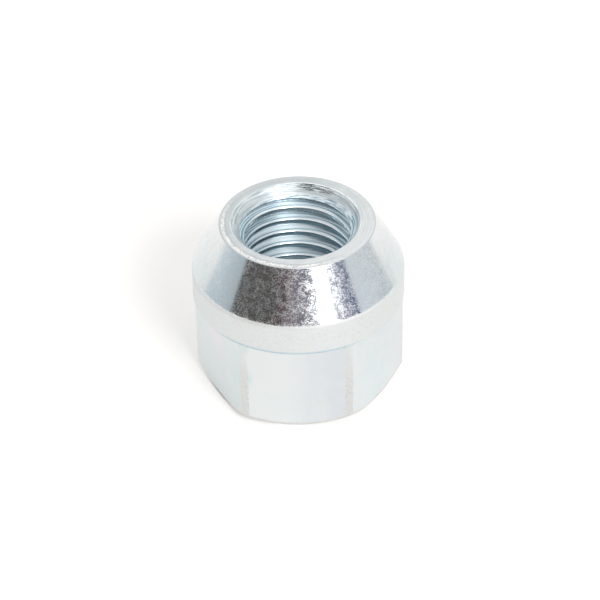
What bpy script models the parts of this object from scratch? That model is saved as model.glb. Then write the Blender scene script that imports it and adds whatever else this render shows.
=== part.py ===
"""Open-end lug nut: a hex body, a short round collar and a 60 degree conical seat around a threaded bore.

The nut is one piece of zinc plated steel. It stands on its hex end with the seat up.
Lengths are in metres, +Z runs along the thread axis towards the seat, and the origin is
the centre of the hex end face. One wrench flat faces straight along -Y.
"""
import math

import bmesh
import bpy

MM = 0.001

# Thread: right-hand, M12 x 1.5, cut right through the nut. Its flats are shares of the pitch
THREAD_PITCH = 1.5 * MM
THREAD_MINOR_DIAMETER = 10.65 * MM
THREAD_ANGLE = math.radians(60)
CREST_SHARE = 0.25
ROOT_SHARE = 0.17
# Height of the lowest whole crest over the +X axis
THREAD_START = 0.95 * MM
# The bore is drilled to this share of the crests' diameter, and the thread then opens it
PILOT_SHARE = 0.75

# Countersink at both ends of the bore: how far it opens past the thread's crests
COUNTERSINK_WIDTH = 1.06 * MM
COUNTERSINK_ANGLE = math.radians(90)
# The countersink at the seat end stands a little off the thread axis, so the ring round it is
# narrow at the back and wide at the front
MOUTH_ACROSS = -0.18 * MM
MOUTH_BACK = 0.32 * MM
MOUTH_ROUND = 0.25 * MM
# Its cutter is lifted by this much, so that the rounded lip crosses the ring and doesn't only touch it
MOUTH_LIFT = 0.001 * MM

# Hex body. Its corners are turned round this far outside the flats, and its chamfered end face
# keeps this far inside them
ACROSS_FLATS = 18.6 * MM
CORNER_RISE = 1.23 * MM
END_FACE_INSET = 0.1 * MM
END_CHAMFER_ANGLE = math.radians(40)
HEX_HEIGHT = 10.2 * MM
FLAT_COUNT = 6
FLAT_TOP_ROUND = 0.3 * MM
# The flats run this far up past the step between corners and collar, so each ends in a clean edge
FLAT_RUNOUT = 0.03 * MM

# Collar above the hex, a small step wider than the hex corners
COLLAR_HEIGHT = 3.4 * MM
COLLAR_STEP = 0.17 * MM
SHOULDER_ROUND = 1.2 * MM

# Conical seat that centres the nut in the wheel, and the flat ring between it and the mouth
SEAT_ANGLE = math.radians(60)
RIM_WIDTH = 1.4 * MM
RIM_ROUND = 0.18 * MM

# Fineness of the round forms
TURNED_STEPS = 96
THREAD_STEPS = 48
ROUND_STEPS = 3

# Room that a cutter runs past what it cuts, and the distance at which points count as one
CUTTER_OVERRUN = 2.0 * MM
WELD_DISTANCE = 0.002 * MM

minor_radius = THREAD_MINOR_DIAMETER / 2
mouth_radius = minor_radius + COUNTERSINK_WIDTH
rim_radius = mouth_radius + RIM_WIDTH
flat_distance = ACROSS_FLATS / 2
end_face_radius = flat_distance - END_FACE_INSET
corner_radius = flat_distance + CORNER_RISE
collar_radius = corner_radius + COLLAR_STEP
seat_base = HEX_HEIGHT + COLLAR_HEIGHT
total_height = seat_base + (collar_radius - rim_radius) / math.tan(SEAT_ANGLE / 2)
pilot_radius = minor_radius * PILOT_SHARE
countersink_depth = (mouth_radius - pilot_radius) / math.tan(COUNTERSINK_ANGLE / 2)


def clear_scene():
    """Remove the objects that a new file opens with."""
    for obj in list(bpy.data.objects):
        bpy.data.objects.remove(obj, do_unlink=True)


def new_collection(name):
    collection = bpy.data.collections.new(name)
    bpy.context.scene.collection.children.link(collection)
    return collection


def zinc_plate():
    """Bright zinc over steel: a pale metal with a faint blue cast and a soft gloss."""
    material = bpy.data.materials.new("zinc_plate")
    material.use_nodes = True
    shader = material.node_tree.nodes["Principled BSDF"]
    shader.inputs["Base Color"].default_value = (0.78, 0.81, 0.82, 1.0)
    shader.inputs["Metallic"].default_value = 1.0
    shader.inputs["Roughness"].default_value = 0.3
    return material


def rounded(before, corner, after, radius):
    """Points of an arc that rounds the corner of a profile, from the side of before to the side of after."""
    to_before = (before[0] - corner[0], before[1] - corner[1])
    to_after = (after[0] - corner[0], after[1] - corner[1])
    length_before = math.hypot(*to_before)
    length_after = math.hypot(*to_after)
    unit_before = (to_before[0] / length_before, to_before[1] / length_before)
    unit_after = (to_after[0] / length_after, to_after[1] / length_after)
    half = math.acos(unit_before[0] * unit_after[0] + unit_before[1] * unit_after[1]) / 2
    # The arc may not use up more than half of either side
    reach = min(radius / math.tan(half), length_before / 2, length_after / 2)
    radius = reach * math.tan(half)
    middle = (unit_before[0] + unit_after[0], unit_before[1] + unit_after[1])
    scale = radius / math.sin(half) / math.hypot(*middle)
    centre = (corner[0] + middle[0] * scale, corner[1] + middle[1] * scale)
    start = (corner[0] + unit_before[0] * reach, corner[1] + unit_before[1] * reach)
    end = (corner[0] + unit_after[0] * reach, corner[1] + unit_after[1] * reach)
    angle = math.atan2(start[1] - centre[1], start[0] - centre[0])
    sweep = math.atan2(end[1] - centre[1], end[0] - centre[0]) - angle
    sweep = math.remainder(sweep, 2 * math.pi)
    points = []
    for step in range(ROUND_STEPS + 1):
        turn = angle + sweep * step / ROUND_STEPS
        points.append((centre[0] + radius * math.cos(turn), centre[1] + radius * math.sin(turn)))
    return points


def blank_profile():
    """Closed section of the turned blank, as (radius, height) points.

    It runs down the outside from the seat rim, across the hex end and up the pilot bore.
    """
    chamfer_height = (corner_radius - end_face_radius) * math.tan(END_CHAMFER_ANGLE)
    rim = (rim_radius, total_height)
    shoulder = (collar_radius, seat_base)
    collar_edge = (collar_radius, HEX_HEIGHT)
    bore_top = (pilot_radius, total_height)

    points = rounded(bore_top, rim, shoulder, RIM_ROUND)
    points += rounded(rim, shoulder, collar_edge, SHOULDER_ROUND)
    # The collar's lower edge is rounded over its whole step, down to the hex corners
    for step in range(ROUND_STEPS + 1):
        turn = math.pi / 2 * step / ROUND_STEPS
        points.append((
            corner_radius + COLLAR_STEP * math.cos(turn),
            HEX_HEIGHT + COLLAR_STEP * (1 - math.sin(turn)),
        ))
    points.append((corner_radius, chamfer_height))
    points.append((end_face_radius, 0.0))
    points.append((mouth_radius, 0.0))
    points.append((pilot_radius, countersink_depth))
    points.append(bore_top)
    return points


def wire_mesh(name, points, closed):
    """Mesh of a profile's edges, drawn at +X in the plane Y = 0."""
    bm = bmesh.new()
    verts = [bm.verts.new((radius, 0.0, height)) for radius, height in points]
    for first, second in zip(verts, verts[1:]):
        bm.edges.new((first, second))
    if closed:
        bm.edges.new((verts[-1], verts[0]))
    mesh = bpy.data.meshes.new(name)
    bm.to_mesh(mesh)
    bm.free()
    return mesh


def turn_section(obj):
    """Turn the section of an object once round the Z axis."""
    turn = obj.modifiers.new("turn", "SCREW")
    turn.axis = "Z"
    turn.angle = 2 * math.pi
    turn.steps = TURNED_STEPS
    turn.render_steps = TURNED_STEPS
    turn.use_merge_vertices = True
    turn.merge_threshold = WELD_DISTANCE
    turn.use_smooth_shade = True


def turned_blank(collection):
    """The nut as it leaves the lathe: round all over, with a pilot bore."""
    mesh = wire_mesh("lug_nut", blank_profile(), closed=True)
    mesh.materials.append(zinc_plate())
    blank = bpy.data.objects.new("lug_nut", mesh)
    collection.objects.link(blank)
    turn_section(blank)
    return blank


def as_cutter(obj, collection):
    collection.objects.link(obj)
    obj.hide_render = True
    obj.display_type = "WIRE"
    return obj


def cut(target, cutter):
    boolean = target.modifiers.new("cut_" + cutter.name, "BOOLEAN")
    boolean.operation = "DIFFERENCE"
    boolean.solver = "EXACT"
    boolean.object = cutter


def flat_cutter(number, collection):
    """Block that takes one wrench flat off the blank, from below the end face up to the collar."""
    depth = CORNER_RISE + CUTTER_OVERRUN
    width = 2 * corner_radius
    top = HEX_HEIGHT + FLAT_RUNOUT
    height = top + CUTTER_OVERRUN
    middle = flat_distance + depth / 2
    bm = bmesh.new()
    bmesh.ops.create_cube(bm, size=1.0)
    bmesh.ops.scale(bm, vec=(depth, width, height), verts=bm.verts)
    bmesh.ops.translate(bm, vec=(middle, 0.0, top - height / 2), verts=bm.verts)
    # The edge that forms the corner between the flat and the collar's underside is rounded
    top_inner = [edge for edge in bm.edges if all(
        vert.co.x < middle and vert.co.z > top - height / 2 for vert in edge.verts)]
    bmesh.ops.bevel(
        bm, geom=top_inner, offset=FLAT_TOP_ROUND, offset_type="OFFSET", segments=ROUND_STEPS,
        profile=0.5, affect="EDGES", clamp_overlap=True)
    mesh = bpy.data.meshes.new("flat_cutter_%d" % number)
    bm.to_mesh(mesh)
    bm.free()
    cutter = as_cutter(bpy.data.objects.new(mesh.name, mesh), collection)
    cutter.rotation_euler.z = 2 * math.pi * number / FLAT_COUNT + math.radians(-90)
    return cutter


def mouth_cutter(collection):
    """Cone with a flared lip, round a hole, that countersinks the bore at the seat end."""
    inner = pilot_radius / 2
    above = total_height + CUTTER_OVERRUN
    inner_low = (inner, total_height - (mouth_radius - inner) / math.tan(COUNTERSINK_ANGLE / 2))
    lip = rounded(inner_low, (mouth_radius, total_height), (rim_radius, total_height), MOUTH_ROUND)
    section = [(inner, above), (lip[-1][0], above)] + lip[::-1] + [inner_low]
    mesh = wire_mesh("mouth_cutter", section, closed=True)
    cutter = as_cutter(bpy.data.objects.new(mesh.name, mesh), collection)
    cutter.location = (MOUTH_ACROSS, MOUTH_BACK, MOUTH_LIFT)
    turn_section(cutter)
    return cutter


def thread_cutter(collection):
    """Tap-shaped solid: one pitch of the thread's section, swept along its helix past both ends.

    Its outside carries the nut's crests at the minor radius and its roots at the major radius.
    """
    # The tap's facets are turned half a facet of the blank, so no edge of one lies on one of the other
    turned = math.pi / TURNED_STEPS
    first_crest = THREAD_START + THREAD_PITCH * turned / (2 * math.pi)
    crest = THREAD_PITCH * CREST_SHARE
    root = THREAD_PITCH * ROOT_SHARE
    flank = (THREAD_PITCH - crest - root) / 2
    major_radius = minor_radius + flank / math.tan(THREAD_ANGLE / 2)
    # The sweep starts under the end face, in phase with the crest height named above
    turns_below = math.ceil((first_crest + CUTTER_OVERRUN) / THREAD_PITCH) + 1
    start = first_crest + crest / 2 - THREAD_PITCH * turns_below
    turns = math.ceil((total_height + CUTTER_OVERRUN - start) / THREAD_PITCH) + 1
    section = [
        (minor_radius, start + THREAD_PITCH),
        (minor_radius, start + THREAD_PITCH - crest),
        (major_radius, start + THREAD_PITCH - crest - flank),
        (major_radius, start + flank),
        (minor_radius, start),
    ]
    mesh = wire_mesh("thread_cutter", section, closed=False)
    cutter = as_cutter(bpy.data.objects.new(mesh.name, mesh), collection)
    cutter.rotation_euler.z = turned
    helix = cutter.modifiers.new("helix", "SCREW")
    helix.axis = "Z"
    helix.angle = 2 * math.pi
    helix.screw_offset = THREAD_PITCH
    helix.iterations = turns
    helix.steps = THREAD_STEPS
    helix.render_steps = THREAD_STEPS
    helix.use_merge_vertices = False
    weld = cutter.modifiers.new("join_turns", "WELD")
    weld.merge_threshold = WELD_DISTANCE

    # The helix is open at both ends, so each rim is drawn in to a point on the axis
    graph = bpy.context.evaluated_depsgraph_get()
    swept = bpy.data.meshes.new_from_object(cutter.evaluated_get(graph))
    cutter.modifiers.clear()
    bm = bmesh.new()
    bm.from_mesh(swept)
    rims = [edge for edge in bm.edges if edge.is_boundary]
    middle = start + THREAD_PITCH * (turns + 1) / 2
    for below in (True, False):
        rim = [edge for edge in rims if (edge.verts[0].co.z < middle) == below]
        drawn = bmesh.ops.extrude_edge_only(bm, edges=rim)["geom"]
        tip = [item for item in drawn if isinstance(item, bmesh.types.BMVert)]
        height = sum(vert.co.z for vert in tip) / len(tip)
        bmesh.ops.pointmerge(bm, verts=tip, merge_co=(0.0, 0.0, height))
    bmesh.ops.recalc_face_normals(bm, faces=bm.faces)
    bm.to_mesh(cutter.data)
    bm.free()
    bpy.data.meshes.remove(swept)
    return cutter


def build():
    clear_scene()
    parts = new_collection("lug_nut")
    cutters = new_collection("cutters")
    nut = turned_blank(parts)
    for number in range(FLAT_COUNT):
        cut(nut, flat_cutter(number, cutters))
    cut(nut, mouth_cutter(cutters))
    cut(nut, thread_cutter(cutters))
    clean = nut.modifiers.new("join_cuts", "WELD")
    clean.merge_threshold = WELD_DISTANCE


build()
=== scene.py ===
# %% [markdown]
# # A zinc plated lug nut
#
# A lug nut holds a wheel on its studs. This one is turned and pressed from one bar of steel and
# then plated with zinc. It stands on its hex end, with the conical seat up, so the camera looks
# down on the seat and a little way into the thread.
#
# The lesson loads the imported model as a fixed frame, models a finer nut in the same place, gives
# each of its surfaces the finish that the shop left there, and lights it as a small product photo.

import math

import bmesh
import bpy
from mathutils import Matrix, Vector


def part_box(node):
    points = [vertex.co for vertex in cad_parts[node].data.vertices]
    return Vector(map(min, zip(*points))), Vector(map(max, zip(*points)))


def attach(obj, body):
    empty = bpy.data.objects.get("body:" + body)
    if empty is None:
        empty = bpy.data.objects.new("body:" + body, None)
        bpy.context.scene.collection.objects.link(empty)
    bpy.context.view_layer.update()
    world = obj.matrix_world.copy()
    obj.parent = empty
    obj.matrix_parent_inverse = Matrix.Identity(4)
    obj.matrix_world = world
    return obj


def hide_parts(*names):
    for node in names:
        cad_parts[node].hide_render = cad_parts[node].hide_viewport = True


mm = 0.001
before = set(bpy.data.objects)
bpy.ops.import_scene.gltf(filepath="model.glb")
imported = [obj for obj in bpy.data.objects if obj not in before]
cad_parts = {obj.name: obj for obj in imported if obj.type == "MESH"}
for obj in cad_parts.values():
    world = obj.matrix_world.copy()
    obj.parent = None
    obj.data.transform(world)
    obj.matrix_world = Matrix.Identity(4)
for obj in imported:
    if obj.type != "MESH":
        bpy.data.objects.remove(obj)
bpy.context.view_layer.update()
nut_low, nut_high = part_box("lug_nut")
print("the frame holds", sorted(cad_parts), "from", round(nut_low.z / mm, 2), "to",
      round(nut_high.z / mm, 2), "mm high")

# %% [markdown]
# ## Sizes
#
# The frame gives the two sizes that bound the nut: its height and the radius of its collar. The
# others are the sizes that a drawing of the nut would carry. Everything is in metres, so a
# millimetre is 0.001.

# %% Sizes of the nut
total_height = nut_high.z
collar_radius = nut_high.x

pitch = 1.5 * mm
minor_radius = 5.325 * mm
mouth_radius = minor_radius + 1.18 * mm
mouth_across = -0.18 * mm
mouth_back = 0.2 * mm
rim_radius = mouth_radius + 1.28 * mm
end_mouth_radius = minor_radius + 1.06 * mm
flat_distance = 9.3 * mm
corner_radius = flat_distance + 1.23 * mm
end_face_radius = flat_distance - 0.1 * mm
hex_height = 10.2 * mm
seat_slope = math.radians(60)
seat_base = total_height - (collar_radius - rim_radius) * math.tan(seat_slope)
chamfer_slope = math.radians(40)
chamfer_height = (corner_radius - end_face_radius) * math.tan(chamfer_slope)
pilot_radius = 0.75 * minor_radius
print("the hex ends at", round(hex_height / mm, 2), "mm")
print("the cone starts at", round(seat_base / mm, 2), "mm")

# %% [markdown]
# ## The camera
#
# The photo looks down on the nut at about 38 degrees, through a long lens, and the picture is turned
# by about one degree. The camera could be pointed by hand, but a distance and two angles round the
# point that it aims at are easier to fit, with a small shift in its own picture plane.

# %% Camera
aim = Vector((0, 0, 9.107 * mm))
camera_distance = 263.6 * mm
camera_azimuth = math.radians(2.57)
camera_elevation = math.radians(37.697)
camera_roll = math.radians(-1.303)
picture_shift = Vector((0.1061 * mm, -0.2775 * mm, camera_distance))

camera_turn = (Matrix.Rotation(camera_azimuth, 4, "Z")
               @ Matrix.Rotation(math.pi / 2 - camera_elevation, 4, "X")
               @ Matrix.Rotation(camera_roll, 4, "Z"))
camera_data = bpy.data.cameras.new("camera")
camera_data.lens = 155.74
camera_data.sensor_width = 36
camera_data.clip_start = 0.01
camera = bpy.data.objects.new("camera", camera_data)
camera.matrix_world = Matrix.Translation(aim + camera_turn.to_3x3() @ picture_shift) @ camera_turn
bpy.context.scene.collection.objects.link(camera)
bpy.context.scene.camera = camera
print("the camera stands at", [round(x / mm, 1) for x in camera.matrix_world.translation], "mm")

# %% [markdown]
# ## The section of the blank
#
# A nut like this starts as a turned blank, so it is drawn as the half section that a lathe would
# follow. Sharp corners exist only on paper: plating and tumbling leave each one with a small
# radius, which is what catches the light. A bevel could round them later, but points drawn on an
# arc have the exact radius, so one helper rounds a corner between two straight sides.


# %% Round one corner of a section
def rounded(before, corner, after, radius, steps):
    """Points of the arc that rounds a corner, from the side of before to the side of after."""
    corner = Vector(corner)
    to_before = (Vector(before) - corner).normalized()
    to_after = (Vector(after) - corner).normalized()
    half = to_before.angle(to_after) / 2
    centre = corner + (to_before + to_after).normalized() * radius / math.sin(half)
    first = corner + to_before * radius / math.tan(half) - centre
    last = corner + to_after * radius / math.tan(half) - centre
    start = math.atan2(first.y, first.x)
    sweep = math.remainder(math.atan2(last.y, last.x) - start, 2 * math.pi)
    turns = [start + sweep * step / steps for step in range(steps + 1)]
    return [(centre.x + radius * math.cos(t), centre.y + radius * math.sin(t)) for t in turns]


# %% Corners of the blank, as radius and height
rim = (rim_radius, total_height)
shoulder = (collar_radius, seat_base)
collar_edge = (collar_radius, hex_height)
hex_top = (corner_radius, hex_height)
chamfer_top = (corner_radius, chamfer_height)
end_rim = (end_face_radius, 0.0)
end_mouth = (end_mouth_radius, 0.0)
pilot_low = (pilot_radius, end_mouth_radius - pilot_radius)
pilot_high = (pilot_radius, total_height)
print("the chamfer at the end face is", round(chamfer_height / mm, 2), "mm high")

# %% Radii of those corners, and the section
rim_round = 0.1 * mm
shoulder_round = 1.2 * mm
collar_edge_round = 0.16 * mm
chamfer_top_round = 0.15 * mm
end_rim_round = 0.12 * mm
end_mouth_round = 0.2 * mm

blank_section = (
    [pilot_high]
    + rounded(pilot_high, rim, shoulder, rim_round, 6)
    + rounded(rim, shoulder, collar_edge, shoulder_round, 12)
    + rounded(shoulder, collar_edge, hex_top, collar_edge_round, 5)
    + rounded(hex_top, chamfer_top, end_rim, chamfer_top_round, 4)
    + rounded(chamfer_top, end_rim, end_mouth, end_rim_round, 4)
    + rounded(end_rim, end_mouth, pilot_low, end_mouth_round, 5)
    + [pilot_low]
)
print("the section of the blank has", len(blank_section), "points")

# %% [markdown]
# ## Turning the blank
#
# By hand this would be done with a plane that is merged to one point, and that point is extruded
# from corner to corner along the section. The Spin tool then turns the line round the thread axis,
# which gives every ring its exact radius, unlike a cylinder that is scaled ring by ring. Before each
# primitive everything is deselected, because an operator acts on all that is selected.


# %% Draw a section by extruding one point
def draw_line(name, points):
    """An object in edit mode with one line of edges through the (x, y, z) points."""
    bpy.ops.object.select_all(action="DESELECT")
    bpy.ops.mesh.primitive_plane_add(size=mm)
    obj = bpy.context.object
    obj.name = name
    bpy.context.tool_settings.mesh_select_mode = (True, False, False)
    bpy.ops.object.mode_set(mode="EDIT")
    bpy.ops.mesh.select_all(action="SELECT")
    bpy.ops.mesh.merge(type="CENTER")
    bpy.ops.transform.translate(value=points[0])
    for point, following in zip(points, points[1:]):
        step = Vector(following) - Vector(point)
        bpy.ops.mesh.extrude_region_move(TRANSFORM_OT_translate={"value": step})
    return obj


def draw_section(name, points):
    """The same through the (radius, height) points of a section."""
    return draw_line(name, [(radius, 0, height) for radius, height in points])


# %% Measure a mesh
def measure(obj):
    """Print how fine a mesh is and whether it is closed."""
    mesh = bmesh.new()
    mesh.from_mesh(obj.data)
    open_edges = sum(1 for edge in mesh.edges if not edge.is_manifold)
    triangles = sum(len(face.verts) - 2 for face in mesh.faces)
    print(obj.name, "has", triangles, "triangles,", open_edges, "open edges and a volume of",
          round(mesh.calc_volume(signed=True) / mm ** 3), "cubic mm")
    mesh.free()


# %% Spin the section round the thread axis
turned_steps = 192


def spin_section(obj):
    """Turn a drawn section once round the axis and leave edit mode."""
    bpy.ops.mesh.select_all(action="SELECT")
    bpy.ops.mesh.spin(steps=turned_steps, angle=2 * math.pi, center=(0, 0, 0), axis=(0, 0, 1))
    bpy.ops.mesh.select_all(action="SELECT")
    bpy.ops.mesh.remove_doubles(threshold=0.001 * mm)
    bpy.ops.mesh.normals_make_consistent(inside=False)
    bpy.ops.object.mode_set(mode="OBJECT")
    measure(obj)


nut = draw_section("plated_nut", blank_section + blank_section[:1])
spin_section(nut)

# %% [markdown]
# ## The mouth
#
# The countersink at the seat end is not quite in line with the thread: it stands a fifth of a
# millimetre to the back and almost as much to the left, so the ring round it is narrow at the back
# and wide at the front. It is cut with a cone of its own, whose section ends in the rounded lip of
# the mouth. The cone is lifted by a thousandth of a millimetre, so that its lip crosses the ring.


# %% Cut with a Boolean modifier
def only(obj):
    """Leave edit mode, and select this object and no other."""
    if bpy.context.object and bpy.context.object.mode != "OBJECT":
        bpy.ops.object.mode_set(mode="OBJECT")
    bpy.ops.object.select_all(action="DESELECT")
    obj.select_set(True)
    bpy.context.view_layer.objects.active = obj


def cut(target, cutter):
    """Take the cutter's shape away from the target."""
    modifier = target.modifiers.new("cut", "BOOLEAN")
    modifier.operation = "DIFFERENCE"
    modifier.solver = "EXACT"
    modifier.object = cutter
    only(target)
    bpy.ops.object.modifier_apply(modifier=modifier.name)


# %% Countersink the mouth
lip_round = 0.25 * mm
cone_lift = 0.001 * mm
above = total_height + mm
mouth_tip = (0.0, total_height - mouth_radius)
mouth_top = (mouth_radius, total_height)
lip = rounded(mouth_tip, mouth_top, rim, lip_round, 6)
cone_section = [mouth_tip] + lip + [(lip[-1][0], above), (0.0, above)]
cone = draw_section("countersink", cone_section)
spin_section(cone)
cone.location = (mouth_across, mouth_back, cone_lift)
bpy.context.view_layer.update()
cut(nut, cone)
bpy.data.objects.remove(cone)
measure(nut)

# %% [markdown]
# ## The six wrench flats
#
# The press shears the flats as far as the collar, so each one ends in a small inside radius and
# leaves a narrow strip of the round bar standing at every corner. A six-sided prism would have no
# such strips, so one tool stands for the press. Seen from above, its outline runs along the flat,
# turns round the edge of the strip and leaves the nut. The tool is turned by a sixth of a turn after
# each cut, and its top inner edge is bevelled, which leaves the inside radius under the collar.

# %% Outline of the press tool
edge_round = 0.5 * mm
edge_steps = 6
# The round ends this far outside the bar, so that it crosses the skin of the bar cleanly
clearance = 0.004 * mm
round_back = flat_distance - edge_round
round_across = math.sqrt((corner_radius + clearance - edge_round) ** 2 - round_back ** 2)
leave = math.atan2(round_across, round_back)
tool_low = -2.0 * mm
tool_top = hex_height + 0.03 * mm
tool_radius = corner_radius + 4.0 * mm
under_collar_round = 0.3 * mm

right_side = []
for step in range(edge_steps + 1):
    turned = leave * step / edge_steps
    across = round_across + edge_round * math.sin(turned)
    back = round_back + edge_round * math.cos(turned)
    right_side.append((across, -back, tool_low))
right_side.append((tool_radius * math.sin(leave), -tool_radius * math.cos(leave), tool_low))
left_side = [(-x, y, z) for x, y, z in reversed(right_side)]
strip_width = 2 * (math.radians(30) - leave) * corner_radius
print("each strip is", round(strip_width / mm, 2), "mm wide between its rounds")


# %% Select edges by a rule
def select_edges(obj, wanted):
    """In edit mode, select the edges for which wanted(edge) is true."""
    bpy.context.tool_settings.mesh_select_mode = (False, True, False)
    bpy.ops.mesh.select_all(action="DESELECT")
    mesh = bmesh.from_edit_mesh(obj.data)
    for edge in mesh.edges:
        if wanted(edge):
            edge.select_set(True)
    bmesh.update_edit_mesh(obj.data)


# %% Make the press tool
tool = draw_line("press_tool", left_side + right_side)
bpy.ops.mesh.select_all(action="SELECT")
bpy.ops.mesh.edge_face_add()
bpy.ops.mesh.extrude_region_move(TRANSFORM_OT_translate={"value": (0, 0, tool_top - tool_low)})
bpy.ops.mesh.select_all(action="SELECT")
bpy.ops.mesh.normals_make_consistent(inside=False)
select_edges(tool, lambda edge: all(
    vert.co.z > 0 and vert.co.xy.length < corner_radius + mm for vert in edge.verts))
bpy.ops.mesh.bevel(offset=under_collar_round, segments=edge_steps, affect="EDGES")
bpy.ops.object.mode_set(mode="OBJECT")
measure(tool)

# %% Cut the six flats
for number in range(6):
    tool.rotation_euler.z = math.radians(60 * number)
    bpy.context.view_layer.update()
    cut(nut, tool)
bpy.data.objects.remove(tool)
measure(nut)

# %% [markdown]
# ## The thread
#
# A bump could only hint at the thread, and the view into the mouth shows its real profile. A tap
# cuts it in the shop, so a tap is modelled and taken away from the nut. Its section is one pitch of
# the thread, and a Screw modifier sweeps it up its helix. The flats at crest and root are shares of
# the pitch, and each corner has the small radius that a used tap leaves. The helix starts at the
# height at which the photo shows its crests, since a turn of the thread is also a shift of it.

# %% Sizes of the thread
crest = pitch * 0.25
root = pitch * 0.17
flank = (pitch - crest - root) / 2
major_radius = minor_radius + flank / math.tan(math.radians(30))
# Radii of the corners of its section. The upper corner of each crest is burnished rounder
crest_round = 0.05 * mm
root_round = 0.06 * mm
upper_crest_round = 0.1 * mm
print("crests at", round(2 * minor_radius / mm, 2), "mm and roots at", round(2 * major_radius / mm, 2), "mm")

# %% Section of the tap
tap_turns = 17
tap_steps = 96
turns_below = 3
first_crest = 0.95 * mm
# The tap's facets are turned a little against those of the blank, so that no two edges coincide
tap_turn = 2 * math.pi / tap_steps / 4
tap_start = first_crest + pitch * (tap_turn / (2 * math.pi) - turns_below)

crest_top = (minor_radius, tap_start)
crest_end = (minor_radius, tap_start - crest / 2)
root_start = (major_radius, tap_start - crest / 2 - flank)
root_end = (major_radius, tap_start - crest / 2 - flank - root)
next_crest = (minor_radius, tap_start - pitch + crest / 2)
crest_low = (minor_radius, tap_start - pitch)
tap_section = (
    [crest_top]
    + rounded(crest_top, crest_end, root_start, crest_round, 3)
    + rounded(crest_end, root_start, root_end, root_round, 3)
    + rounded(root_start, root_end, next_crest, root_round, 3)
    + rounded(root_end, next_crest, crest_low, upper_crest_round, 4)
    + [crest_low]
)
print("the section of the tap has", len(tap_section), "points")

# %% Sweep the tap and close its two ends
weld_distance = 0.002 * mm
tap = draw_section("tap", tap_section)
only(tap)
helix = tap.modifiers.new("helix", "SCREW")
helix.axis = "Z"
helix.screw_offset = pitch
helix.iterations = tap_turns
helix.steps = tap_steps
helix.render_steps = tap_steps
helix.use_merge_vertices = False
bpy.ops.object.modifier_apply(modifier=helix.name)
bpy.ops.object.mode_set(mode="EDIT")
bpy.ops.mesh.select_all(action="SELECT")
bpy.ops.mesh.remove_doubles(threshold=weld_distance)
for below in (True, False):
    select_edges(tap, lambda edge: edge.is_boundary and (edge.verts[0].co.z < total_height / 2) == below)
    bpy.ops.mesh.extrude_edges_move()
    bpy.ops.mesh.merge(type="CENTER")
bpy.ops.mesh.select_all(action="SELECT")
bpy.ops.mesh.normals_make_consistent(inside=False)
bpy.ops.object.mode_set(mode="OBJECT")
measure(tap)

# %% Cut the thread and smooth the nut
tap.rotation_euler.z = tap_turn
bpy.context.view_layer.update()
cut(nut, tap)
bpy.data.objects.remove(tap)
only(nut)
bpy.ops.object.mode_set(mode="EDIT")
bpy.ops.mesh.select_all(action="SELECT")
bpy.ops.mesh.remove_doubles(threshold=weld_distance)
bpy.ops.object.mode_set(mode="OBJECT")
bpy.ops.object.shade_smooth_by_angle(angle=math.radians(35))
weighted = nut.modifiers.new("weighted_normals", "WEIGHTED_NORMAL")
weighted.keep_sharp = True
bpy.ops.object.modifier_apply(modifier=weighted.name)
measure(nut)

# %% [markdown]
# ## Tools for the finishes
#
# A finish is a small network of nodes. The patterns all start from Object coordinates, which are
# the places on the nut in metres, so a pattern stays where it is when the view changes. A helper
# adds one node and connects its inputs, which keeps each finish short enough to read.


# %% Add one node
def add_node(tree, kind, inputs=(), **settings):
    """Add a node. Inputs are pairs of socket and value, and a value may be another node's output."""
    node = tree.nodes.new(kind)
    for name, value in settings.items():
        setattr(node, name, value)
    for socket, value in inputs:
        if isinstance(value, bpy.types.NodeSocket):
            tree.links.new(value, node.inputs[socket])
        else:
            node.inputs[socket].default_value = value
    return node


# %% Sums with nodes
def math_node(tree, operation, first, second=0.0):
    return add_node(tree, "ShaderNodeMath", [(0, first), (1, second)], operation=operation).outputs[0]


def added(tree, first, second):
    return math_node(tree, "ADD", first, second)


def multiplied(tree, first, *others):
    """The product of two or more values."""
    for other in others:
        first = math_node(tree, "MULTIPLY", first, other)
    return first


def away(tree, value, middle):
    """How far a value is from a middle one, on either side."""
    return math_node(tree, "ABSOLUTE", math_node(tree, "SUBTRACT", value, middle))


def spread(tree, value, low, high, new_low=0.0, new_high=1.0):
    """Stretch the span from low to high over the new span, and clamp what lies outside."""
    inputs = [(0, value), (1, low), (2, high), (3, new_low), (4, new_high)]
    return add_node(tree, "ShaderNodeMapRange", inputs).outputs[0]


# %% Places on the nut
def split(tree, place):
    """The x, y and z of a place."""
    return add_node(tree, "ShaderNodeSeparateXYZ", [(0, place)]).outputs


def stretched(tree, place, factors):
    """The same place with each axis multiplied by its factor, to stretch a pattern along an axis."""
    node = add_node(tree, "ShaderNodeVectorMath", [(0, place), (1, factors)], operation="MULTIPLY")
    return node.outputs[0]


def round_the_axis(tree, place, across=0.0, back=0.0):
    """Distance from an upright axis, angle round it and height. The axis may stand off the middle."""
    axes = split(tree, place)
    x = math_node(tree, "SUBTRACT", axes[0], across)
    y = math_node(tree, "SUBTRACT", axes[1], back)
    squares = added(tree, multiplied(tree, x, x), multiplied(tree, y, y))
    return math_node(tree, "SQRT", squares), math_node(tree, "ARCTAN2", y, x), axes[2]


# %% Patterns
def noise(tree, place, grain, detail=2.0, roughness=0.5):
    """Noise from 0 to 1 whose spots are about one grain wide, in metres."""
    inputs = [("Vector", place), ("Scale", 1 / grain), ("Detail", detail), ("Roughness", roughness)]
    return add_node(tree, "ShaderNodeTexNoise", inputs).outputs["Fac"]


def lines_round(tree, radius, angle, squeeze, grain, detail=2.0, roughness=0.5):
    """Noise drawn out into lines round an axis: a whole radian counts only as the short way squeeze."""
    along = multiplied(tree, angle, squeeze)
    unrolled = add_node(tree, "ShaderNodeCombineXYZ", [(0, radius), (1, along)]).outputs[0]
    return noise(tree, unrolled, grain, detail, roughness)


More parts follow.
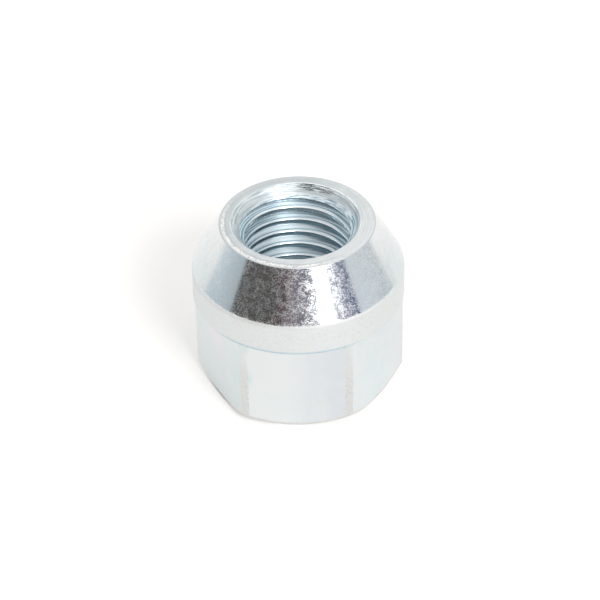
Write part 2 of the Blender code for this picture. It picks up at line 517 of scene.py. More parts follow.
# %% Colours
def blend(tree, share, first, second):
    """A colour between two colours, each a (red, green, blue) or another node's colour."""
    ends = [colour if isinstance(colour, bpy.types.NodeSocket) else (*colour, 1)
            for colour in (first, second)]
    node = add_node(tree, "ShaderNodeMix", [(0, share), (6, ends[0]), (7, ends[1])], data_type="RGBA")
    return node.outputs[2]


def blend_values(tree, share, first, second):
    """A value between two values."""
    return add_node(tree, "ShaderNodeMix", [(0, share), (2, first), (3, second)]).outputs[0]


def colour_steps(tree, value, low, high, steps):
    """Colours along the span from low to high. Steps are pairs of a value and a (red, green, blue)."""
    ramp = add_node(tree, "ShaderNodeValToRGB", [(0, spread(tree, value, low, high))])
    stops = ramp.color_ramp.elements
    while len(stops) < len(steps):
        stops.new(1.0)
    for stop, (at, colour) in zip(stops, steps):
        stop.position = (at - low) / (high - low)
        stop.color = (*colour, 1)
    return ramp.outputs[0]


# %% Start a finish, and give it relief
def new_finish(name, roughness=0.3):
    """A metal material. Returns its tree, its shader and the coordinates on the nut."""
    material = bpy.data.materials.new(name)
    material.use_nodes = True
    tree = material.node_tree
    shader = tree.nodes["Principled BSDF"]
    shader.inputs["Metallic"].default_value = 1.0
    shader.inputs["Roughness"].default_value = roughness
    place = add_node(tree, "ShaderNodeTexCoord").outputs["Object"]
    nut.data.materials.append(material)
    print("finish", len(nut.data.materials), "is", name)
    return tree, shader, place


def add_bump(tree, shader, height, depth):
    """Give the shader a relief of this depth, in metres, from a height between 0 and 1."""
    bump = add_node(tree, "ShaderNodeBump", [("Height", height), ("Distance", depth)])
    tree.links.new(bump.outputs[0], shader.inputs["Normal"])


# %% [markdown]
# ## Pressed flats
#
# The flats are smooth, with a faint blue to green film from the clear passivate over the zinc, and
# a pink one high on the left flat. Painted shade darkens the side flats and the right of the front
# flat. The press leaves faint upright stripes, so one noise is stretched along the height. The grain
# of the zinc itself is too fine to see, and only dulls them.
# The edges of a flat are rubbed, and at the foot the flats get painted contact shade, darkest at the left.

# %% Finish of the flats: the film and painted shade across them
tree, shader, place = new_finish("pressed_flats", 0.28)
axes = split(tree, place)
waver = spread(tree, noise(tree, place, 2 * mm, 3.0), 0.25, 0.75, -mm, mm)
drawn_out = stretched(tree, place, (1, 1, 0.12))
stripes = spread(tree, noise(tree, drawn_out, 1.2 * mm, 3.0), 0.25, 0.75, -mm, mm)
across = added(tree, axes[0], added(tree, waver, stripes))
# These steps hold the film's tints and painted shade: darker on the side flats and at the right of the front
# flat
tint = colour_steps(tree, across, -11 * mm, 11 * mm, [
    (-11 * mm, (0.657, 0.695, 0.717)),
    (-7.5 * mm, (0.634, 0.691, 0.699)),
    (-5.5 * mm, (0.626, 0.700, 0.713)),
    (-4.3 * mm, (0.711, 0.741, 0.749)),
    (-1.5 * mm, (0.724, 0.754, 0.762)),
    (0.5 * mm, (0.706, 0.735, 0.753)),
    (3.2 * mm, (0.661, 0.695, 0.726)),
    (4.4 * mm, (0.653, 0.691, 0.722)),
    (5.5 * mm, (0.697, 0.731, 0.740)),
    (8.0 * mm, (0.661, 0.714, 0.731)),
    (11 * mm, (0.701, 0.727, 0.735)),
])
tint_share = spread(tree, noise(tree, place, 1.6 * mm, 4.0), 0.5, 0.7, 0.0, 0.6)
tint = blend(tree, tint_share, tint, (0.724, 0.741, 0.745))

# %% Finish of the flats: the pink film
pink_middle = (-8.3 * mm, -4.2 * mm, 7.6 * mm)
pink_tint = (0.711, 0.691, 0.731)
from_pink = add_node(tree, "ShaderNodeVectorMath", [(0, place), (1, pink_middle)], operation="DISTANCE")
distance = added(tree, from_pink.outputs[1], multiplied(tree, noise(tree, place, 2 * mm), 3 * mm))
tint = blend(tree, spread(tree, distance, 2.2 * mm, 4.4 * mm, 0.8, 0.0), tint, pink_tint)
print("with the pink film there are", len(tree.nodes), "nodes")

# %% Finish of the flats: rubbed towards the strips and the chamfer
rubbed_tint = (0.664, 0.660, 0.652)
radius = round_the_axis(tree, place)[0]
ragged = spread(tree, noise(tree, place, 0.3 * mm, 4.0, 0.7), 0.25, 0.75, -0.12 * mm, 0.12 * mm)
to_strip = added(tree, radius, multiplied(tree, ragged, 0.3))
by_strip = multiplied(
    tree, spread(tree, to_strip, corner_radius - 0.025 * mm, corner_radius + 0.005 * mm),
    spread(tree, axes[2], hex_height - 4.2 * mm, hex_height - 1.2 * mm, 1.0, 0.2))
from_end_face = math_node(tree, "SUBTRACT", radius, end_face_radius)
chamfer_rise = multiplied(tree, from_end_face, math.tan(chamfer_slope))
over_chamfer = math_node(tree, "SUBTRACT", axes[2], added(tree, chamfer_rise, ragged))
by_chamfer = spread(tree, over_chamfer, 0.12 * mm, 0.3 * mm, 1.0, 0.0)
tint = blend(tree, math_node(tree, "MAXIMUM", by_strip, by_chamfer), tint, rubbed_tint)
print("with the rubbed edges there are", len(tree.nodes), "nodes")


# %% Painted contact shade round the foot
def with_painted_foot_shade(tree, tint, axes, reach, elsewhere):
    """Blend a painted contact shade into the foot, up to the reach, most of all at the left."""
    foot_shade_tint = (0.24, 0.225, 0.19)
    low_down = spread(tree, axes[2], 0.15 * mm, reach, 0.9, 0.0)
    at_left = spread(tree, axes[0], -5 * mm, -2 * mm, 1.0, elsewhere)
    return blend(tree, multiplied(tree, low_down, at_left), tint, foot_shade_tint)


# %% Finish of the flats: dark specks beside the strips, lower down, and painted shade at the foot
speck_tint = (0.44, 0.41, 0.38)
specks = noise(tree, stretched(tree, place, (1, 1, 0.5)), 0.24 * mm, 3.0, 0.7)
dots = multiplied(
    tree, spread(tree, specks, 0.48, 0.6),
    spread(tree, radius, corner_radius - 0.055 * mm, corner_radius - 0.04 * mm, 0.0, 0.5),
    spread(tree, radius, corner_radius - 0.025 * mm, corner_radius - 0.005 * mm, 1.0, 0.3),
    spread(tree, axes[2], hex_height - 4.7 * mm, hex_height - 1.7 * mm, 1.0, 0.0))
tint = blend(tree, dots, tint, speck_tint)
tint = with_painted_foot_shade(tree, tint, axes, 0.48 * mm, 0.1)
tree.links.new(tint, shader.inputs["Base Color"])
print("the whole finish of the flats takes", len(tree.nodes), "nodes")

# %% [markdown]
# ## Skin of the bar
#
# The collar, the strips between the flats and the chamfer still have the surface of the drawn bar:
# warmer, duller and finely pitted. A fine noise darkens the pits and makes their relief. On the
# strips the press has drawn the pits out along the height. The skin is painted darker towards the
# left and right sides, as painted shade. The lower lip of the collar has a painted blue line of
# shade at the front, which fades towards the left and right sides. Each of the three looks is a
# finish of its own, because masks for all of them in one network would be harder to follow.

# %% Finish of the collar and the chamfer
lip_shade_tint = (0.48, 0.61, 0.68)
lip_shade_middle = -1.0 * mm
pit_tint = (0.591, 0.589, 0.571)
tree, shader, place = new_finish("bar_skin")
axes = split(tree, place)
pits = noise(tree, place, 0.2 * mm, 4.0, 0.6)
warmth = spread(tree, noise(tree, place, 1.8 * mm, 3.0), 0.35, 0.65)
# Painted shade: the skin is darker towards the left and right sides
tint = colour_steps(tree, axes[0], -11 * mm, 11 * mm, [
    (-11 * mm, (0.653, 0.698, 0.705)),
    (-4 * mm, (0.716, 0.742, 0.756)),
    (4 * mm, (0.716, 0.742, 0.756)),
    (11 * mm, (0.676, 0.715, 0.723)),
])
tint = blend(tree, multiplied(tree, warmth, 0.6), tint, (0.720, 0.729, 0.723))
tint = blend(tree, spread(tree, pits, 0.28, 0.48, 0.6, 0.0), tint, pit_tint)
# Painted shade: a blue line along the lower lip of the collar, at the front
tone_mix = multiplied(
    tree, spread(tree, axes[2], hex_height - 0.1 * mm, hex_height, 0.0, 0.8),
    spread(tree, axes[2], hex_height + 0.22 * mm, hex_height + 0.34 * mm, 1.0, 0.0),
    spread(tree, away(tree, axes[0], lip_shade_middle), 5.0 * mm, 7.0 * mm, 1.0, 0.0))
tint = blend(tree, tone_mix, tint, lip_shade_tint)
# Painted contact shade at the foot, darkest at the left
tint = with_painted_foot_shade(tree, tint, axes, 0.5 * mm, 0.3)
tree.links.new(tint, shader.inputs["Base Color"])
tree.links.new(spread(tree, pits, 0.3, 0.7, 0.5, 0.38), shader.inputs["Roughness"])
add_bump(tree, shader, pits, 0.005 * mm)

# %% Finish of the sheared strips between the flats
tree, shader, place = new_finish("sheared_strip", 0.45)
pits = noise(tree, stretched(tree, place, (1, 1, 0.45)), 0.22 * mm, 4.0, 0.65)
tint = blend(tree, spread(tree, pits, 0.38, 0.6), (0.644, 0.639, 0.628), (0.727, 0.727, 0.723))
# Towards the collar a strip looks more like the flats beside it
height = split(tree, place)[2]
like_flats = spread(tree, height, hex_height - 5.7 * mm, hex_height - 1.2 * mm, 0.0, 0.85)
tint = blend(tree, like_flats, tint, (0.708, 0.727, 0.736))
tree.links.new(tint, shader.inputs["Base Color"])
add_bump(tree, shader, pits, 0.005 * mm)

# %% Finish of the lower lip of the collar: its painted line of shade
tree, shader, place = new_finish("collar_lip")
tint_share = spread(tree, noise(tree, place, 1.2 * mm), 0.4, 0.6)
tint = blend(tree, tint_share, (0.34, 0.46, 0.55), (0.46, 0.58, 0.64))
# The painted shade line fades towards both sides
off_lip_shade = away(tree, split(tree, place)[0], lip_shade_middle)
tint = blend(tree, spread(tree, off_lip_shade, 6.0 * mm, 8.0 * mm), tint, (0.66, 0.70, 0.72))
tree.links.new(tint, shader.inputs["Base Color"])

# %% [markdown]
# ## The turned seat
#
# The cone that centres the nut in the wheel is turned smooth, so it works as a mirror. Zinc grows
# in small crystals, and many of them are hazy, so a dark reflection is full of light flecks and the
# edge of a bright one is feathered. The flecks come from a fine noise that a coarser one gathers
# into clusters. Towards the shoulder the mirror ends in a ragged edge and the skin of the bar begins.

# %% Finish of the seat: hazy crystals in the mirror
tree, shader, place = new_finish("turned_seat")
grains = noise(tree, place, 0.09 * mm, 2.0, 0.65)
clusters = noise(tree, place, 0.7 * mm, 3.0, 0.65)
gathered = added(tree, grains, multiplied(tree, clusters, 0.5))
# From the front right on, round by the back to the left side, more of the crystals are hazy
angle = round_the_axis(tree, place)[1]
gathered = added(tree, gathered, spread(tree, angle, math.radians(-72), math.radians(-64), 0.0, 0.035))
haze = spread(tree, gathered, 0.75, 0.82)
gloss = spread(tree, haze, 0.0, 1.0, 0.02, 0.32)

# %% Finish of the seat: the skin of the bar at its lower edge
skin_tint = (0.72, 0.735, 0.735)
rust_tint = (0.58, 0.545, 0.49)
axes = split(tree, place)
torn = noise(tree, place, 0.14 * mm, 3.0, 0.7)
ragged = added(tree, axes[2], spread(tree, torn, 0.3, 0.7, -0.32 * mm, 0.32 * mm))
skin = spread(tree, ragged, seat_base + 0.06 * mm, seat_base + 0.12 * mm, 1.0, 0.0)
rust = spread(tree, torn, 0.55, 0.68, 0.0, 0.7)

tone_mix = spread(tree, noise(tree, place, 1.6 * mm, 2.0), 0.4, 0.6)
tint = blend(tree, tone_mix, (0.78, 0.785, 0.785), (0.765, 0.795, 0.805))
# Painted shade: the seat is darker towards its left and right sides
to_side = spread(tree, away(tree, axes[0], 0.0), 7.6 * mm, 9.2 * mm)
tint = blend(tree, to_side, tint, (0.675, 0.718, 0.736))
tint = blend(tree, skin, tint, blend(tree, rust, skin_tint, rust_tint))
tree.links.new(tint, shader.inputs["Base Color"])
tree.links.new(blend_values(tree, skin, gloss, 0.6), shader.inputs["Roughness"])
add_bump(tree, shader, grains, 0.0025 * mm)
print("the whole finish of the seat takes", len(tree.nodes), "nodes")

# %% [markdown]
# ## Ring and rim
#
# The flat ring at the top is faced, so it is plain, slightly dull and has faint lines round the
# axis, which come from noise that is drawn out that way. Its colour is painted lighter towards the
# front right, as painted light. The outer edge of the ring is rubbed by handling, most of all at
# the front left, which leaves it pale with white specks. One helper gives the specks to the ring and
# to the rim, so that they run on over the edge between the two.


# %% Pale specks near the rim
def rubbed(tree, place, radius, tint):
    """Blend a colour into pale specks where the radius comes near the rim, mostly at the front left."""
    specks = noise(tree, place, 0.26 * mm, 4.0, 0.7)
    pale = blend(tree, spread(tree, specks, 0.36, 0.56), (0.56, 0.57, 0.565), (0.98, 0.975, 0.96))
    near = added(tree, radius, spread(tree, specks, 0.25, 0.75, -0.15 * mm, 0.15 * mm))
    axes = split(tree, place)
    to_back_right = added(tree, axes[1], multiplied(tree, axes[0], 0.8))
    at_front_left = spread(tree, to_back_right, -6.0 * mm, -1.5 * mm, 1.0, 0.15)
    # A dull line marks where the rim starts to round off
    off_line = away(tree, near, rim_radius - 0.6 * mm)
    line = multiplied(tree, spread(tree, off_line, 0.04 * mm, 0.16 * mm, 0.7, 0.0), at_front_left)
    tint = blend(tree, line, tint, (0.52, 0.545, 0.55))
    off_rim = away(tree, near, rim_radius - 0.3 * mm)
    share = multiplied(tree, spread(tree, off_rim, 0.1 * mm, 0.24 * mm, 1.0, 0.0), at_front_left)
    return blend(tree, share, tint, pale)


# %% Finish of the ring
tree, shader, place = new_finish("faced_ring")
radius, angle = round_the_axis(tree, place)[:2]
lines = lines_round(tree, radius, angle, 0.3 * mm, 0.12 * mm)
axes = split(tree, place)
# Painted light: the ring is lighter towards the front right, where the soft box stands
to_front_right = math_node(tree, "SUBTRACT", axes[0], axes[1])
tint_share = added(tree, spread(tree, noise(tree, place, 1.5 * mm, 3.0), 0.3, 0.7, -0.3, 0.3),
              spread(tree, to_front_right, -9 * mm, 9 * mm))
tint = blend(tree, tint_share, (0.605, 0.64, 0.655), (0.79, 0.81, 0.815))
tint = blend(tree, spread(tree, lines, 0.3, 0.55, 0.45, 0.0), tint, (0.54, 0.57, 0.59))
tree.links.new(rubbed(tree, place, radius, tint), shader.inputs["Base Color"])
tree.links.new(spread(tree, lines, 0.3, 0.7, 0.36, 0.28), shader.inputs["Roughness"])
add_bump(tree, shader, lines, 0.003 * mm)

# %% Finish of the rubbed rim
tree, shader, place = new_finish("rubbed_rim", 0.5)
radius = round_the_axis(tree, place)[0]
tree.links.new(rubbed(tree, place, radius, (0.56, 0.59, 0.60)), shader.inputs["Base Color"])
add_bump(tree, shader, noise(tree, place, 0.16 * mm, 3.0, 0.65), 0.012 * mm)

# %% [markdown]
# ## The finishes of the thread
#
# The tap's marks run along the helix. Lines that follow the helix stand at a fixed height over it,
# so the height of the helix at each angle is taken off first. The flanks are torn a little by the
# tap, so they scatter the light that reaches them, while the crests are what the drill left and
# are smoother; their darker colour is painted shade. Round the bore the flanks carry painted light
# and shade as well. Angles start at the right side of the nut and run round by the back.


# %% Streak the gloss across tool marks that run round the axis
def brush(tree, shader, amount):
    """Tool marks spread a reflection across themselves. Their direction is the radial tangent."""
    shader.inputs["Anisotropic"].default_value = amount
    shader.inputs["Anisotropic Rotation"].default_value = 0.25
    tangent = add_node(tree, "ShaderNodeTangent", direction_type="RADIAL", axis="Z").outputs[0]
    tree.links.new(tangent, shader.inputs["Tangent"])


# %% Marks that run along the helix, and upright ticks across them
def helix_marks(tree, place, width):
    """Noise drawn out along the helix, in marks of about this width."""
    radius, angle, height = round_the_axis(tree, place)
    rise = multiplied(tree, angle, pitch / (2 * math.pi))
    over_helix = math_node(tree, "FLOORED_MODULO", math_node(tree, "SUBTRACT", height, rise), pitch)
    along = multiplied(tree, angle, 0.12 * mm)
    across = add_node(tree, "ShaderNodeCombineXYZ", [(0, radius), (1, over_helix), (2, along)]).outputs[0]
    return noise(tree, across, width, 2.0)


def upright_ticks(tree, place):
    """Upright ticks between 0 and 1, as the tap tore them into the first turn."""
    return spread(tree, noise(tree, stretched(tree, place, (1, 1, 0.3)), 0.14 * mm, 3.0, 0.65), 0.35, 0.65)


# %% Finish of the flanks: marks of the tap
mark_tint = (0.17, 0.29, 0.35)
tree, shader, place = new_finish("thread_flank")
marks = helix_marks(tree, place, 0.15 * mm)
radius, angle, height = round_the_axis(tree, place)
depth = math_node(tree, "SUBTRACT", radius, minor_radius)
tint_share = spread(tree, noise(tree, place, 1.5 * mm, 3.0), 0.35, 0.65)
tint = blend(tree, tint_share, (0.67, 0.80, 0.86), (0.77, 0.88, 0.93))
# Painted light and shade: at the right side and the front the metal is painted brighter, the dark
# marks there are more, partly as painted shade, and painted shade gathers near the roots
brighter = spread(tree, angle, math.radians(60), math.radians(75), 0.6, 0.0)
tint = blend(tree, brighter, tint, (0.94, 0.98, 1.0))
more_marks_and_shade = spread(tree, angle, math.radians(45), math.radians(85), 0.07, 0.0)
streaks = math_node(tree, "SUBTRACT", marks, more_marks_and_shade)
tint = blend(tree, spread(tree, streaks, 0.39, 0.48, 0.92, 0.0), tint, mark_tint)
by_root = multiplied(tree, spread(tree, depth, 0.425 * mm, 0.625 * mm, 0.0, 0.75),
                     spread(tree, angle, math.radians(55), math.radians(85), 1.0, 0.0))
tint = blend(tree, by_root, tint, (0.22, 0.38, 0.47))

# %% Finish of the flanks: roots and crests
first_turn_low = total_height - 3.3 * mm
# Painted light: below the first turn the roots are painted lighter and less metallic, from the back to the
# left side, where the soft box shines into the bore
in_root = multiplied(
    tree, spread(tree, depth, 0.275 * mm, 0.475 * mm),
    spread(tree, depth, 0.615 * mm, 0.695 * mm, 1.0, 0.0),
    spread(tree, height, first_turn_low - 0.45 * mm, first_turn_low + 0.05 * mm, 1.0, 0.0),
    spread(tree, angle, math.radians(62), math.radians(82)))
tint = blend(tree, in_root, tint, (0.84, 0.92, 0.96))
# The root of the first turn is full of upright ticks, painted dark as painted shade under the ridge above
first_root = multiplied(tree, spread(tree, height, first_turn_low, first_turn_low + 0.1 * mm),
                        spread(tree, depth, 0.595 * mm, 0.655 * mm))
ticked = blend(tree, upright_ticks(tree, place), (0.28, 0.38, 0.44), (0.62, 0.72, 0.77))
tint = blend(tree, first_root, tint, ticked)
# Next to each crest the flank is painted lighter, as a painted highlight
tint = blend(tree, spread(tree, depth, 0.095 * mm, 0.215 * mm, 0.6, 0.0), tint, (0.92, 0.96, 0.98))
tree.links.new(tint, shader.inputs["Base Color"])
tree.links.new(spread(tree, marks, 0.3, 0.7, 0.34, 0.46), shader.inputs["Roughness"])
tree.links.new(spread(tree, in_root, 0.0, 1.0, 0.95, 0.45), shader.inputs["Metallic"])
add_bump(tree, shader, marks, 0.03 * mm)
brush(tree, shader, 0.4)
print("the whole finish of the flanks takes", len(tree.nodes), "nodes")

# %% Finish of the crests
tree, shader, place = new_finish("thread_crest", 0.22)
marks = helix_marks(tree, place, 0.07 * mm)
# The crests' colour is darkened as painted shade
tint = blend(tree, spread(tree, marks, 0.35, 0.65), (0.42, 0.58, 0.66), (0.55, 0.69, 0.75))
# The first crest is torn, and painted brighter as painted light near the mouth
height = split(tree, place)[2]
first_crest_share = spread(tree, height, first_turn_low - 0.05 * mm, first_turn_low + 0.45 * mm)
ticked = blend(tree, upright_ticks(tree, place), (0.60, 0.75, 0.84), (0.98, 1.0, 1.0))
tint = blend(tree, first_crest_share, tint, ticked)
tree.links.new(tint, shader.inputs["Base Color"])
add_bump(tree, shader, marks, 0.001 * mm)

# %% Finish of the edges with a painted highlight: above each crest, and the lip of the mouth
tree, shader, place = new_finish("edge_painted_highlight", 0.25)
angle = round_the_axis(tree, place)[1]
# Painted highlight: the edges are light, except from the back round to the left side
tint_share = multiplied(tree, spread(tree, noise(tree, place, 1.2 * mm, 3.0), 0.3, 0.5),
                   spread(tree, angle, math.radians(95), math.radians(125), 1.0, 0.0))
tree.links.new(blend(tree, tint_share, (0.66, 0.73, 0.76), (0.96, 0.99, 1.0)), shader.inputs["Base Color"])

# %% [markdown]
# ## The mouth's finish
#
# The countersink has the marks of its tool, which run round its own axis. At the back right the tool
# chattered and left torn lines, painted near black as a painted reflection of the dark room. Lower
# down the surface is painted darker, as painted shade, and at its lower end it has cut the first
# crest almost away, so what is left there is painted dark like a crest, as painted shade. Modelled
# marks would take far more triangles, so they are relief and colour. A share of the colour isn't
# metallic, because the rough marks scatter the light.

# %% Finish of the mouth: tool marks
tree, shader, place = new_finish("cut_mouth", 0.45)
radius, angle = round_the_axis(tree, place, mouth_across, mouth_back)[:2]
inward = math_node(tree, "SUBTRACT", mouth_radius, radius)
lines = lines_round(tree, radius, angle, 0.25 * mm, 0.12 * mm, 3.0)
tint = blend(tree, spread(tree, lines, 0.38, 0.58), (0.38, 0.43, 0.45), (0.72, 0.76, 0.77))
# Painted shade: lower down the countersink is darker
tint = blend(tree, spread(tree, inward, 0.355 * mm, 0.555 * mm, 0.0, 0.35), tint, (0.40, 0.45, 0.47))
ticks = noise(tree, place, 0.14 * mm, 2.0)
tint = blend(tree, spread(tree, ticks, 0.36, 0.5, 0.35, 0.0), tint, (0.33, 0.38, 0.41))
uneven = spread(tree, noise(tree, place, 1.4 * mm), 0.35, 0.65, 0.15, 1.0)
relief = added(tree, multiplied(tree, lines, uneven), multiplied(tree, ticks, 0.5))
add_bump(tree, shader, relief, 0.03 * mm)

# %% Finish of the mouth: chatter marks with a painted reflection, and painted shade at its lower end
chatter_and_reflection_tint = (0.08, 0.095, 0.09)
torn = lines_round(tree, radius, angle, 0.35 * mm, 0.09 * mm, 2.0, 0.6)
chatter_and_reflection = multiplied(
    tree, spread(tree, angle, math.radians(50), math.radians(56)),
    spread(tree, angle, math.radians(84), math.radians(98), 1.0, 0.0),
    spread(tree, inward, 0.505 * mm, 0.655 * mm, 1.0, 0.0),
    spread(tree, torn, 0.48, 0.56, 1.0, 0.0),
    spread(tree, ticks, 0.40, 0.52, 0.45, 1.0))
tint = blend(tree, chatter_and_reflection, tint, chatter_and_reflection_tint)
# Painted shade: the lower end is dark like the crests
end_tint = blend(tree, spread(tree, torn, 0.4, 0.56), (0.24, 0.34, 0.40), (0.74, 0.82, 0.86))
depth = math_node(tree, "SUBTRACT", round_the_axis(tree, place)[0], minor_radius)
torn_depth = added(tree, depth, spread(tree, lines, 0.3, 0.7, -0.1 * mm, 0.1 * mm))
tint = blend(tree, spread(tree, torn_depth, 0.395 * mm, 0.535 * mm, 0.95, 0.0), tint, end_tint)
tree.links.new(tint, shader.inputs["Base Color"])
shader.inputs["Metallic"].default_value = 0.6
print("the whole finish of the mouth takes", len(tree.nodes), "nodes")

# %% [markdown]
# ## Which face has which finish
#
# Each face gets its finish by its place: by how far it is from the thread axis, how high it is and
# which way it looks. By hand the faces would be selected ring by ring, and again after every change
# of the model, so a rule does it here.


# %% How far a face may be from where it is looked for
mouth_reach = 2.5 * mm
mouth_tolerance = 0.04 * mm
end_mouth_reach = 1.2 * mm
end_mouth_tolerance = 0.1 * mm
crest_tolerance = 0.08 * mm
flat_tolerance = 0.07 * mm
flat_turns = [math.radians(60 * number) for number in range(6)]
print("the flats look out at", [round(math.degrees(turn)) for turn in flat_turns], "degrees")


# %% Faces that look at the thread axis
def bore_finish(face):
    """The finish of a face in the bore or the mouth."""
    centre = face.center
    distance = math.hypot(centre.x, centre.y)
    # On a countersink of 90 degrees, the distance from its axis and the depth make up its radius
    from_mouth_axis = math.hypot(centre.x - mouth_across, centre.y - mouth_back)
    off_mouth = abs(from_mouth_axis + total_height - centre.z - mouth_radius)
    off_end_mouth = abs(distance + centre.z - end_mouth_radius)
    if centre.z > total_height - mouth_reach and off_mouth < mouth_tolerance:
        return "cut_mouth"
    if centre.z < end_mouth_reach and off_end_mouth < end_mouth_tolerance:
        return "cut_mouth"
    if distance < minor_radius + crest_tolerance and face.normal.z < 0.82:
        return "edge_painted_highlight" if face.normal.z > 0.3 else "thread_crest"
    return "thread_flank"


# %% All faces
def finish_of(face):
    """The name of the finish of a face of the nut."""
    centre = face.center
    normal = face.normal
    distance = math.hypot(centre.x, centre.y)
    outward = (normal.x * centre.x + normal.y * centre.y) / distance
    if centre.z > total_height - 0.3 * mm and normal.z > 0.55:
        if outward > 0.1:
            return "rubbed_rim"
        if normal.z > 0.95:
            return "faced_ring"
        if normal.z > 0.8:
            return "edge_painted_highlight"
    if outward < -0.05:
        return bore_finish(face)
    if centre.z > seat_base - 1.0 * mm and normal.z > 0.02:
        return "turned_seat"
    if abs(centre.z - hex_height) < 0.2 * mm and normal.z < -0.15:
        return "collar_lip"
    if centre.z > hex_height - 0.05 * mm:
        return "bar_skin"
    from_middle = max(centre.x * math.sin(turn) + centre.y * math.cos(turn) for turn in flat_turns)
    if abs(from_middle - flat_distance) < flat_tolerance and abs(normal.z) < 0.01:
        return "pressed_flats"
    return "sheared_strip" if centre.z > chamfer_height * 0.5 else "bar_skin"


# %% Give the faces their finishes
slots = {material.name: slot for slot, material in enumerate(nut.data.materials)}
counts = dict.fromkeys(slots, 0)
for face in nut.data.polygons:
    name = finish_of(face)
    face.material_index = slots[name]
    counts[name] += 1
print("faces per finish", counts)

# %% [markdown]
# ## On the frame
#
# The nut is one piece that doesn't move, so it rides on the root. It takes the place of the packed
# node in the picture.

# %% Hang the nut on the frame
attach(nut, "root")
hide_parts("lug_nut")
print("the finer nut stands in for lug_nut")

# %% [markdown]
# ## The table
#
# The nut stands on a plain white table. The floor takes the shadow as any matt surface does. To the
# camera, and in a reflection, it also shines a little, so that it reads as the bright white sheet of
# a product photo without more light on the nut.


# %% Rays that see the white background
def seen_directly(tree):
    """1 for rays from the camera, from a gloss or through glass, and 0 for those that only light."""
    path = add_node(tree, "ShaderNodeLightPath").outputs
    seen = math_node(tree, "MAXIMUM", path["Is Camera Ray"], path["Is Glossy Ray"])
    return math_node(tree, "MAXIMUM", seen, path["Is Transmission Ray"])


# %% Floor
floor_width = 6.0
floor_shine = 0.35
bpy.ops.object.select_all(action="DESELECT")
bpy.ops.mesh.primitive_plane_add(size=floor_width)
floor = bpy.context.object
floor.name = "floor"
paper = bpy.data.materials.new("white_paper")
paper.use_nodes = True
tree = paper.node_tree
shader = tree.nodes["Principled BSDF"]
shader.inputs["Base Color"].default_value = (0.66, 0.652, 0.638, 1)
shader.inputs["Roughness"].default_value = 1.0
shader.inputs["Specular IOR Level"].default_value = 0.0
shader.inputs["Emission Color"].default_value = (1, 1, 1, 1)
tree.links.new(multiplied(tree, seen_directly(tree), floor_shine), shader.inputs["Emission Strength"])
floor.data.materials.append(paper)
print("the floor is", floor_width, "m wide")

# %% [markdown]
# ## The light
#
# Most of the light is even and comes from all round, which is the world. One soft box stands at the
# front right: it throws the soft shadow to the left and shines on the left side of the bore.

# %% World
even_tint = (0.85, 0.843, 0.832)
world = bpy.data.worlds.new("even_light")
bpy.context.scene.world = world
world.use_nodes = True
tree = world.node_tree
sky = tree.nodes["Background"]
tree.links.new(blend(tree, seen_directly(tree), even_tint, (1.0, 1.0, 1.0)), sky.inputs["Color"])
print("the even light has the strength", sky.inputs["Strength"].default_value)

# %% Soft box
box_azimuth = math.radians(29.5)
box_elevation = math.radians(38)
box_distance = 1.0
box_width = 0.32
box_length = 0.26
box_radiance = 22.0
box_data = bpy.data.lights.new("soft_box", "AREA")
box_data.shape = "RECTANGLE"
box_data.size = box_width
box_data.size_y = box_length
box_data.energy = box_radiance * math.pi * box_width * box_length
soft_box = bpy.data.objects.new("soft_box", box_data)
box_turn = Matrix.Rotation(box_azimuth, 4, "Z") @ Matrix.Rotation(math.pi / 2 - box_elevation, 4, "X")
box_place = aim + box_turn.to_3x3() @ Vector((0, 0, box_distance))
soft_box.matrix_world = Matrix.Translation(box_place) @ box_turn
bpy.context.scene.collection.objects.link(soft_box)
print("the soft box gives", round(box_data.energy, 2), "W")

# %% [markdown]
# ## What the mirror sees
#
# A polished cone shows the room round it. In front of the table the room is dark, and at both sides
# it is grey. Below the soft box hangs a bright card, which draws the white stripe on the cone. A low
# wall stands for that room. Only reflections see it, so it takes no light away.

# %% The low wall of the room
wall_radius = 1.6
wall_height = wall_radius * math.tan(math.radians(30))
bpy.ops.object.select_all(action="DESELECT")
bpy.ops.mesh.primitive_cylinder_add(
    vertices=128, radius=wall_radius, depth=wall_height, end_fill_type="NOTHING",
    location=(0, 0, wall_height / 2))
wall = bpy.context.object
wall.name = "room_wall"
wall.visible_camera = False
wall.visible_diffuse = False
wall.visible_shadow = False
wall.visible_transmission = False
print("the wall is", round(wall_height, 2), "m high")

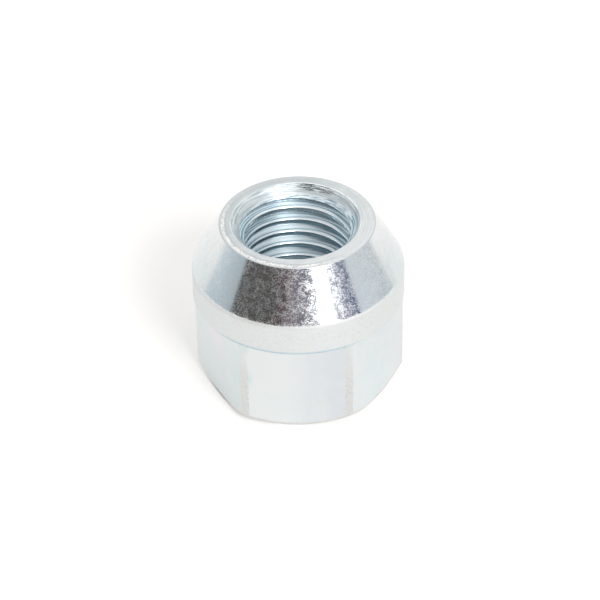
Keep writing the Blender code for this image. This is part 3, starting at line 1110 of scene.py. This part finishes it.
# %% Tones of the wall, by the azimuth from the front in degrees, positive to the right
wall_tones = [
    (-180, (0.90, 0.94, 0.95)),
    (-125, (0.80, 0.85, 0.87)),
    (-106, (0.70, 0.77, 0.80)),
    (-100, (0.64, 0.73, 0.78)),
    (-82, (0.51, 0.58, 0.63)),
    (-70.5, (0.48, 0.55, 0.59)),
    (-68.5, (0.105, 0.102, 0.10)),
    (-25, (0.092, 0.086, 0.084)),
    (-19, (0.12, 0.078, 0.083)),
    (-14, (0.09, 0.077, 0.088)),
    (-9, (0.27, 0.21, 0.21)),
    (-4, (0.22, 0.20, 0.24)),
    (10, (0.21, 0.20, 0.245)),
    (19, (0.28, 0.28, 0.34)),
    (40, (0.46, 0.47, 0.53)),
    (46, (0.36, 0.37, 0.45)),
    (56, (0.21, 0.23, 0.33)),
    (64.5, (0.06, 0.08, 0.19)),
    (66.5, (0.72, 0.78, 0.82)),
    (96, (0.66, 0.71, 0.75)),
    (110, (0.62, 0.67, 0.71)),
    (118, (0.74, 0.79, 0.82)),
    (128, (0.83, 0.88, 0.89)),
    (145, (0.90, 0.95, 0.95)),
]
print("the wall has", len(wall_tones), "tones")

# %% Paint the wall and hang the card
card_strength = 4.5
paint = bpy.data.materials.new("room_tones")
paint.use_nodes = True
tree = paint.node_tree
tree.nodes.clear()
axes = split(tree, add_node(tree, "ShaderNodeTexCoord").outputs["Object"])
azimuth = math_node(tree, "ARCTAN2", axes[0], multiplied(tree, axes[1], -1.0))
tones = colour_steps(tree, azimuth, -math.pi, math.pi, [
    (math.radians(degrees), colour) for degrees, colour in wall_tones])
card = multiplied(tree, spread(tree, azimuth, math.radians(23.4), math.radians(24)),
                  spread(tree, azimuth, math.radians(38), math.radians(38.6), 1.0, 0.0))
glow = add_node(tree, "ShaderNodeEmission", [
    ("Color", blend(tree, card, tones, (1.0, 1.0, 1.0))),
    ("Strength", spread(tree, card, 0.0, 1.0, 1.0, card_strength))])
add_node(tree, "ShaderNodeOutputMaterial", [(0, glow.outputs[0])])
wall.data.materials.append(paint)
print("the card is", card_strength, "times as bright as white")

# %% [markdown]
# ## The last settings
#
# The Standard view shows a colour as it is written.

# %% View settings
bpy.context.scene.view_settings.view_transform = "Standard"
